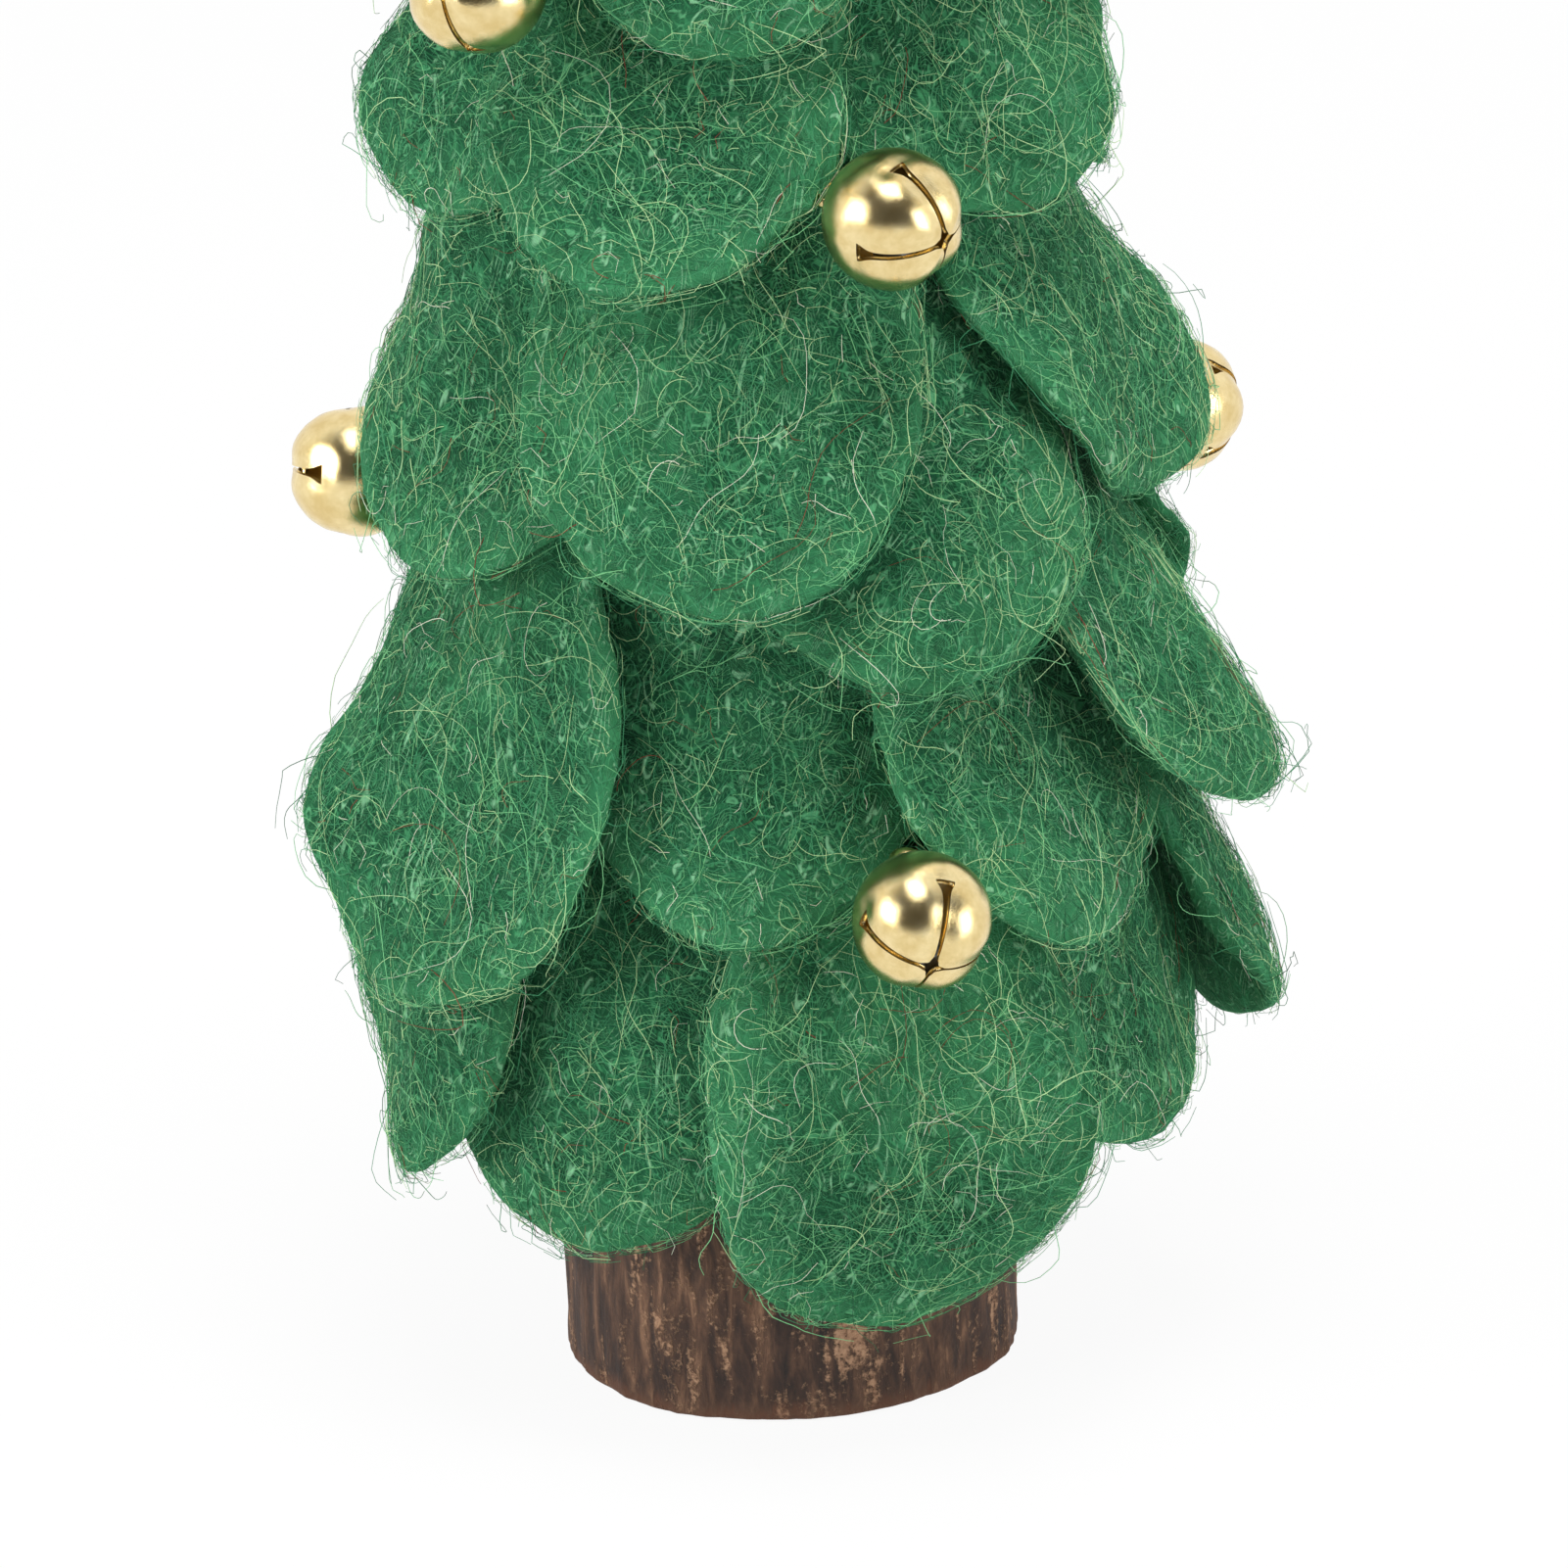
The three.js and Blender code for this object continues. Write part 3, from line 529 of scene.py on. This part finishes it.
def fibre_layer(net, surface, dice, sizes):
    """Curled fibres rooted on the open parts of a surface, as closed three-sided hairs near it."""
    density, shortest, longest, skew, thickness, steps, turning, lift, near_reach, far_reach = sizes
    open_share = net.node("GeometryNodeInputNamedAttribute", {"data_type": "FLOAT"}, {"Name": "open"})
    scattered = net.node(
        "GeometryNodeDistributePointsOnFaces",
        {"distribute_method": "RANDOM"},
        {"Mesh": surface, "Density": density * open_share, "Seed": dice},
    )

    def keep(geometry, name, value, kind="FLOAT_VECTOR", domain="POINT"):
        return net.node(
            "GeometryNodeStoreNamedAttribute",
            {"data_type": kind, "domain": domain},
            {"Geometry": geometry, "Name": name, "Value": value},
        )

    def read(name, kind="FLOAT_VECTOR"):
        return net.node("GeometryNodeInputNamedAttribute", {"data_type": kind}, {"Name": name})

    def roll(extra):
        sockets = {"Min": (0, 0, 0), "Max": (1, 1, 1), "Seed": dice + extra}
        return net.node("FunctionNodeRandomValue", {"data_type": "FLOAT_VECTOR"}, sockets)

    def math_of(operation, *values):
        return net.node("ShaderNodeMath", {"operation": operation}, dict(enumerate(values)))

    roots = keep(scattered, "root", net.node("GeometryNodeInputPosition"))
    roots = keep(roots, "outward", scattered["Normal"])
    roots = keep(roots, "chance", roll(1))
    roots = keep(roots, "chance_more", roll(2))
    thread = net.node("GeometryNodeCurvePrimitiveLine", None, {"End": (0, 0, MM)})
    thread = net.node("GeometryNodeResampleCurve", None, {"Curve": thread, "Count": steps + 1})
    threads = net.node("GeometryNodeInstanceOnPoints", None, {"Points": roots, "Instance": thread})
    threads = net.node("GeometryNodeRealizeInstances", None, {"Geometry": threads})

    along = net.node("GeometryNodeSplineParameter")
    chance = net.node("ShaderNodeSeparateXYZ", None, {"Vector": read("chance")})
    chance_more = net.node("ShaderNodeSeparateXYZ", None, {"Vector": read("chance_more")})
    outward = read("outward")
    aim = net.node("ShaderNodeVectorMath", {"operation": "SUBTRACT"}, {0: read("chance"), 1: (0.5, 0.5, 0.5)})
    side = net.node("ShaderNodeVectorMath", {"operation": "CROSS_PRODUCT"}, {0: outward, 1: aim})
    side = net.node("ShaderNodeVectorMath", {"operation": "NORMALIZE"}, {0: side})
    ahead = net.node("ShaderNodeVectorMath", {"operation": "CROSS_PRODUCT"}, {0: side, 1: outward})
    full = (shortest + (longest - shortest) * chance["X"] ** skew) * MM
    swing = (chance["Y"] - 0.5) * turning * 2
    crimp = math_of("SINE", along * (4 + 5 * chance_more["Z"]) + chance_more["Y"] * 6.28) * 0.4
    heading = swing * along + crimp
    rise = (chance["Z"] ** 2 * 0.9 + 0.25) * lift
    rise = rise * (1 - along * (1.2 + chance_more["X"] * 1.2))
    stride = (ahead * math_of("COSINE", heading) + side * math_of("SINE", heading)) + outward * rise
    stride = net.node("ShaderNodeVectorMath", {"operation": "NORMALIZE"}, {0: stride})
    stride = stride * (full / steps * (along["Index"] > 0.5))
    whose = net.node("GeometryNodeCurveOfPoint")["Curve Index"]
    travelled = net.node(
        "GeometryNodeAccumulateField", {"data_type": "FLOAT_VECTOR", "domain": "POINT"}, {0: stride, "Group ID": whose}
    )
    free_end = read("root") + travelled
    nearest = net.node(
        "GeometryNodeProximity", {"target_element": "FACES"}, {"Geometry": surface, "Sample Position": free_end}
    )
    most = (near_reach + (far_reach - near_reach) * chance_more["X"] ** 5) * MM
    held = math_of("MINIMUM", 1, most / math_of("MAXIMUM", nearest["Distance"], 1e-6))
    kept = nearest["Position"] + (free_end - nearest["Position"]) * held
    threads = net.node("GeometryNodeSetPosition", None, {"Geometry": threads, "Position": kept})
    section = net.node("GeometryNodeCurvePrimitiveCircle", None, {"Resolution": 3, "Radius": MM})
    taper = thickness * (0.65 + 0.5 * chance_more["X"]) * (1 - along * 0.45)
    return net.node(
        "GeometryNodeCurveToMesh",
        None,
        {"Curve": threads, "Profile Curve": section, "Scale": taper, "Fill Caps": True},
    )


fibre_tree = bpy.data.node_groups.new("loose_wool", "GeometryNodeTree")
fibre_inputs = {}
for label, kind, value in (
    ("Felt", "NodeSocketGeometry", None),
    ("Seed", "NodeSocketInt", 1),
    ("Strands per square mm", "NodeSocketFloat", 0.43),
    ("Strand thickness mm", "NodeSocketFloat", 0.036),
    ("Longest strand mm", "NodeSocketFloat", 16.0),
    ("Fuzz per square mm", "NodeSocketFloat", 1.0),
    ("Fuzz thickness mm", "NodeSocketFloat", 0.034),
):
    made = fibre_tree.interface.new_socket(label, in_out="INPUT", socket_type=kind)
    if value is not None:
        made.default_value = value
    fibre_inputs[label] = made.identifier
fibre_tree.interface.new_socket("Fibres", in_out="OUTPUT", socket_type="NodeSocketGeometry")
net = Net(fibre_tree)
given = net.node("NodeGroupInput")
per_square_metre = 1e6
strands = fibre_layer(
    net,
    given["Felt"],
    given["Seed"],
    (
        given["Strands per square mm"] * per_square_metre,
        4.0,
        given["Longest strand mm"],
        1.7,
        given["Strand thickness mm"],
        10,
        3.6,
        0.5,
        0.35,
        2.8,
    ),
)
fuzz = fibre_layer(
    net,
    given["Felt"],
    given["Seed"] + 50,
    (given["Fuzz per square mm"] * per_square_metre, 1.4, 4.2, 1.2, given["Fuzz thickness mm"], 3, 2.2, 0.9, 0.5, 1.8),
)
wool = net.node("GeometryNodeJoinGeometry", None, {"Geometry": strands})
net.tree.links.new(fuzz.socket, wool.socket.node.inputs[0])
wool = net.node("GeometryNodeRealizeInstances", None, {"Geometry": wool})
colour_chance = net.node("GeometryNodeInputNamedAttribute", {"data_type": "FLOAT_VECTOR"}, {"Name": "chance_more"})
colour_chance = net.node("ShaderNodeSeparateXYZ", None, {"Vector": colour_chance})["Y"]
below = 0.0
for material, (_, _, upto) in zip(fibre_materials, FIBRE_TINTS):
    chosen = (colour_chance > below - 1e-4) * (colour_chance < upto + 1e-4)
    chosen = chosen > 0.5
    sockets = {"Geometry": wool, "Selection": chosen, "Material": material}
    wool = net.node("GeometryNodeSetMaterial", None, sockets)
    below = upto
wool = net.node("GeometryNodeSetShadeSmooth", None, {"Geometry": wool, "Shade Smooth": True})
net.node("NodeGroupOutput", None, {"Fibres": wool})

for seed, (node, (piece, width, length, area_share)) in enumerate(felt_pieces.items()):
    growing = piece.modifiers.new("loose_wool", "NODES")
    growing.node_group = fibre_tree
    growing[fibre_inputs["Seed"]] = 101 + 7 * seed
    grown = bpy.data.meshes.new_from_object(piece.evaluated_get(bpy.context.evaluated_depsgraph_get()))
    piece.modifiers.clear()
    for attribute in [a.name for a in grown.attributes if a.name in ("root", "outward", "chance", "chance_more")]:
        grown.attributes.remove(grown.attributes[attribute])
    fibres = bpy.data.objects.new(f"fibres_{node}", grown)
    bpy.context.collection.objects.link(fibres)
    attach(fibres, "tree")
    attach(piece, "tree")
    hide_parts(node)
    cut_area = width * length * MM * MM * area_share


# Jingle bells: pressed from thin gold-coloured sheet in four lobes that nearly meet, with a wire loop at
# the back that is sewn into the felt. Each holds a loose steel pellet.

BELL_RADIUS = 5
BELL_WALL = 0.4
SLOT_END = math.radians(84)
LOBE_TIP = math.radians(6.5)
LOBE_ROWS = 32
LOBE_COLUMNS = (0, 0.03, 0.1, 0.2, 0.32, 0.44, 0.56, 0.68, 0.8, 0.9, 0.97, 1)
LOBE_SHIFTS = (0.12, -0.1, 0.08, 0.0)
SLOT_BRIDGE = 4
BACK_ROWS = 18
LOOP_RADIUS = 1.25
LOOP_WIRE = 0.85
LOOP_END = math.radians(50)
PELLET_RADIUS = 1.5
PELLET_DROP = 4.6 * math.cos(math.pi / 12) ** 2 - PELLET_RADIUS - 0.2

gold, net, place = new_material("gold_sheet")
tarnish = net.grain(place, 1.6 * MM, 4, 0.6)
grit = net.grain(place, 0.1 * MM, 2, 0.7)
gold_colour = net.ramp(tarnish, [(0.35, tint(226, 200, 138)), (0.7, tint(246, 226, 172))])
gold_roughness = 0.17 + tarnish * 0.1
finish_of("gold_sheet", gold_colour, gold_roughness, bump(net, grit, 0.012 * MM), Metallic=1.0)

steel, net, place = new_material("pellet_steel")
tumbled = net.grain(place, 0.3 * MM, 3, 0.6)
steel_colour = net.ramp(tumbled, [(0.3, tint(110, 112, 116)), (0.7, tint(160, 162, 166))])
finish_of("pellet_steel", steel_colour, 0.3 + tumbled * 0.2, bump(net, tumbled, 0.05 * MM), Metallic=1.0)


def slot_half(down):
    """Half a slot's width at an angle from the pole. The slots flare at their ends and the lobes' tips are round."""
    from_end = BELL_RADIUS * (SLOT_END - down)
    from_tip = BELL_RADIUS * (down - LOBE_TIP)
    widening = 0.24 * (down / SLOT_END) ** 1.4
    return 0.12 + widening + 0.42 * math.exp(-((from_end / 0.8) ** 2)) + 0.2 * math.exp(-((from_tip / 0.3) ** 2))


def slot_turn(down):
    return math.asin(min(0.95, slot_half(down) / (BELL_RADIUS * math.sin(down))))


def shell_point(down, around, lobe):
    """A point of the pressed sheet, drawn in beside the slots, with each lobe a little out of line."""
    nearest = abs((around + math.pi / 4) % (math.pi / 2) - math.pi / 4)
    beyond = max(0, BELL_RADIUS * (down - SLOT_END))
    beside = max(0, BELL_RADIUS * math.sin(down) * nearest - slot_half(min(down, SLOT_END)))
    pressed = 0.065 * math.exp(-((beside / 1.1) ** 2) - (beyond / 0.9) ** 2)
    reach = BELL_RADIUS * (1 - pressed) + LOBE_SHIFTS[lobe] * max(0, 1 - down / SLOT_END)
    return Vector((math.sin(down) * math.cos(around), math.sin(down) * math.sin(around), math.cos(down))) * reach


shell_points, shell_faces, slot_edges = [], [], []
lobe_grids = []
for lobe in range(4):
    grid = []
    for row in range(LOBE_ROWS + 1):
        share = row / LOBE_ROWS - 0.08 * math.sin(2 * math.pi * row / LOBE_ROWS)
        down = LOBE_TIP + (SLOT_END - LOBE_TIP) * share
        turn = slot_turn(down)
        grid.append([])
        for column in LOBE_COLUMNS:
            around = lobe * math.pi / 2 + turn + (math.pi / 2 - 2 * turn) * column
            grid[-1].append(len(shell_points))
            shell_points.append(shell_point(down, around, lobe))
    for upper, lower in zip(grid, grid[1:]):
        for k in range(len(LOBE_COLUMNS) - 1):
            shell_faces.append((upper[k], lower[k], lower[k + 1], upper[k + 1]))
    lobe_grids.append(grid)
end_turn = slot_turn(SLOT_END)
end_ring, end_angles = [], []
for lobe, grid in enumerate(lobe_grids):
    start = lobe * math.pi / 2
    end_ring += grid[-1]
    end_angles += [start + end_turn + (math.pi / 2 - 2 * end_turn) * column for column in LOBE_COLUMNS]
    bridge = []
    for k in range(1, SLOT_BRIDGE):
        around = start + math.pi / 2 - end_turn + 2 * end_turn * k / SLOT_BRIDGE
        bridge.append(len(shell_points))
        shell_points.append(shell_point(SLOT_END, around, lobe))
        end_angles.append(around)
    end_ring += bridge
    slot_edges += [row[0] for row in reversed(grid)] + grid[0][1:-1] + [row[-1] for row in grid] + bridge
above = end_ring
for row in range(1, BACK_ROWS):
    down = SLOT_END + (math.pi - SLOT_END) * row / BACK_ROWS
    below = list(range(len(shell_points), len(shell_points) + len(end_angles)))
    shell_points += [shell_point(down, around, 3) for around in end_angles]
    for k in range(len(end_angles)):
        after = (k + 1) % len(end_angles)
        shell_faces.append((above[k], below[k], below[after], above[after]))
    above = below
shell_points.append(Vector((0, 0, -BELL_RADIUS)))
shell_faces += [(above[k], len(shell_points) - 1, above[(k + 1) % len(above)]) for k in range(len(above))]

# The sheet's inner face, and its cut edge, which is rounded over by the press
outer_count = len(shell_points)
shell_faces += [tuple(outer_count + k for k in reversed(face)) for face in shell_faces]
shell_points += [point * (1 - BELL_WALL / point.length) for point in shell_points]
edge_rings = [slot_edges]
for deep in (0.1, 0.3):
    ring = []
    for k, corner in enumerate(slot_edges):
        before, after = shell_points[slot_edges[k - 1]], shell_points[slot_edges[(k + 1) % len(slot_edges)]]
        outside = (after - before).cross(shell_points[corner]).normalized()
        ring.append(len(shell_points))
        shell_points.append(shell_points[corner] * (1 - deep / BELL_RADIUS) + outside * 0.07)
    edge_rings.append(ring)
edge_rings.append([outer_count + k for k in slot_edges])
for first, second in zip(edge_rings, edge_rings[1:]):
    for k in range(len(slot_edges)):
        after = (k + 1) % len(slot_edges)
        shell_faces.append((first[k], second[k], second[after], first[after]))

LOOP_RINGS = 24
LOOP_SIDES = 10
loop_first = len(shell_points)
for ring in range(LOOP_RINGS + 1):
    turn = math.pi - LOOP_END + (math.pi + 2 * LOOP_END) * ring / LOOP_RINGS
    for side in range(LOOP_SIDES):
        roll = 2 * math.pi * side / LOOP_SIDES
        reach = LOOP_RADIUS + LOOP_WIRE / 2 * math.cos(roll)
        low = -(BELL_RADIUS + LOOP_RADIUS / 2)
        across = LOOP_WIRE / 2 * math.sin(roll)
        shell_points.append(Vector((reach * math.cos(turn), across, reach * math.sin(turn) + low)))
for ring in range(LOOP_RINGS):
    for side in range(LOOP_SIDES):
        first = loop_first + ring * LOOP_SIDES
        after = (side + 1) % LOOP_SIDES
        shell_faces.append((first + side, first + after, first + LOOP_SIDES + after, first + LOOP_SIDES + side))
shell_faces.append(tuple(range(loop_first, loop_first + LOOP_SIDES)))
shell_faces.append(tuple(reversed(range(len(shell_points) - LOOP_SIDES, len(shell_points)))))
bell_mesh = bpy.data.meshes.new("bell_ready")
bell_mesh.from_pydata([tuple(point) for point in shell_points], [], shell_faces)
shape = bmesh.new()
shape.from_mesh(bell_mesh)
bmesh.ops.recalc_face_normals(shape, faces=shape.faces)
shape.to_mesh(bell_mesh)
shape.free()

# Each line gives the azimuth and elevation of the bell's pole and the turn of its slots about it
BELL_POLES = {
    "low_front": (7, -24, -18),
    "high_front": (50, -10, 14),
    "upper_left": (-30, 12, 10),
    "left": (-115, 0, 13),
    "right": (120, -12, 37),
    "low_back": (170, -15, 30),
    "high_back": (-146, -5, -25),
    "top_right": (50, -10, 5),
    "top_left": (-95, -18, 35),
}
for name, (azimuth, elevation, spin) in BELL_POLES.items():
    low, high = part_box(f"bell_{name}_pellet")
    pellet_place = (Vector(low) + Vector(high)) / 2 / MM
    centre = pellet_place + Vector((0, 0, PELLET_DROP))
    a, e = math.radians(azimuth), math.radians(elevation)
    pole = Vector((math.sin(a) * math.cos(e), -math.cos(a) * math.cos(e), math.sin(e)))
    side = Vector((0, 0, 1)).cross(pole).normalized()
    turned = Matrix((side, pole.cross(side), pole)).transposed().to_4x4()
    shell_mesh = bell_mesh.copy()
    shell_mesh.transform(Matrix.Translation(centre) @ turned @ Matrix.Rotation(math.radians(spin), 4, "Z"))
    shell_mesh.transform(Matrix.Scale(MM, 4))
    shell_mesh.materials.clear()
    shell_mesh.materials.append(gold)
    shell_mesh.shade_smooth()
    shell_mesh.set_sharp_from_angle(angle=math.radians(75))
    shell = bpy.data.objects.new(f"gold_bell_{name}", shell_mesh)
    bpy.context.collection.objects.link(shell)
    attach(shell, "tree")
    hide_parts(f"bell_{name}_shell")

    shape = bmesh.new()
    bmesh.ops.create_icosphere(shape, subdivisions=4, radius=PELLET_RADIUS - 0.02)
    ball = bpy.data.meshes.new(f"pellet_{name}")
    shape.to_mesh(ball)
    shape.free()
    ball.transform(Matrix.Scale(MM, 4) @ Matrix.Translation(pellet_place))
    ball.materials.append(steel)
    ball.shade_smooth()
    pellet = bpy.data.objects.new(f"pellet_{name}", ball)
    bpy.context.collection.objects.link(pellet)
    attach(pellet, f"pellet_{name}")
    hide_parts(f"bell_{name}_pellet")


# Studio: a white floor and background, with soft lamps at the left, overhead and at the right. Towards the camera's
# side the world is dark for reflections only, so that the bells' middles show a painted dark reflection.

FLOOR_GLOW = 0.93
AMBIENT = 0.4
DARK_MIDDLE = (0, -0.82, 0.57)

studio_white, net, place = new_material("studio_white")
shader = studio_white.node_tree.nodes["Principled BSDF"]
shader.inputs["Base Color"].default_value = (0.9, 0.9, 0.9, 1)
shader.inputs["Roughness"].default_value = 0.9
glow = net.node("ShaderNodeEmission", None, {"Color": (1, 1, 1, 1), "Strength": 1.0})
rays = net.node("ShaderNodeLightPath")
seen = rays["Is Camera Ray"] + rays["Is Glossy Ray"] + rays["Is Transmission Ray"]
mixed = net.node("ShaderNodeMixShader", None, {0: seen * FLOOR_GLOW})
net.tree.links.new(shader.outputs[0], mixed.socket.node.inputs[1])
net.tree.links.new(glow.socket, mixed.socket.node.inputs[2])
# From below the floor can be seen through, so that the underside of the foot shows
from_below = net.node("ShaderNodeNewGeometry")["Backfacing"]
one_sided = net.node("ShaderNodeMixShader", None, {0: from_below})
net.tree.links.new(mixed.socket, one_sided.socket.node.inputs[1])
net.tree.links.new(net.node("ShaderNodeBsdfTransparent").socket, one_sided.socket.node.inputs[2])
net.tree.links.new(one_sided.socket, studio_white.node_tree.nodes["Material Output"].inputs["Surface"])
floor_points = [(-2500, -2500, -0.05), (2500, -2500, -0.05), (2500, 2500, -0.05), (-2500, 2500, -0.05)]
floor = mesh_piece("floor", floor_points, [(0, 1, 2, 3)], studio_white)

world = bpy.data.worlds.new("studio")
world.use_nodes = True
bpy.context.scene.world = world
net = Net(world.node_tree)
rays = net.node("ShaderNodeLightPath")
seen = rays["Is Camera Ray"] + rays["Is Glossy Ray"] + rays["Is Transmission Ray"]
bearing = net.node("ShaderNodeTexCoord")["Generated"]
facing = net.node("ShaderNodeVectorMath", {"operation": "DOT_PRODUCT"}, {0: bearing, 1: DARK_MIDDLE})["Value"]
# Painted dark reflection: the world is dimmed around DARK_MIDDLE for glossy rays only, and lights nothing
painted_dark_reflection = net.step(facing, 0.3, 0.74) * rays["Is Glossy Ray"]
world_light = world.node_tree.nodes["Background"]
world_light.inputs["Color"].default_value = (1, 1, 1, 1)
strength = AMBIENT + seen * (1 - AMBIENT) - painted_dark_reflection * 0.92
net.tree.links.new(strength.socket, world_light.inputs["Strength"])

TREE_MIDDLE = Vector((0, 0, 0.09))


def soft_lamp(name, direction, size, power):
    """A square lamp 1.2 m from the tree's middle, facing it."""
    lamp = bpy.data.lights.new(name, "AREA")
    lamp.size = size
    lamp.energy = power
    shown = bpy.data.objects.new(name, lamp)
    bpy.context.collection.objects.link(shown)
    direction = Vector(direction).normalized()
    shown.location = TREE_MIDDLE + direction * 1.2
    shown.rotation_mode = "QUATERNION"
    shown.rotation_quaternion = (-direction).to_track_quat("-Z", "Y")


soft_lamp("left_lamp", (-0.93, -0.42, 0.3), 0.6, 9.5)
soft_lamp("overhead_lamp", (0.06, -0.25, 0.95), 0.6, 10)
soft_lamp("right_lamp", (0.88, -0.5, 0.2), 0.6, 6)

bpy.context.scene.view_settings.view_transform = "Standard"
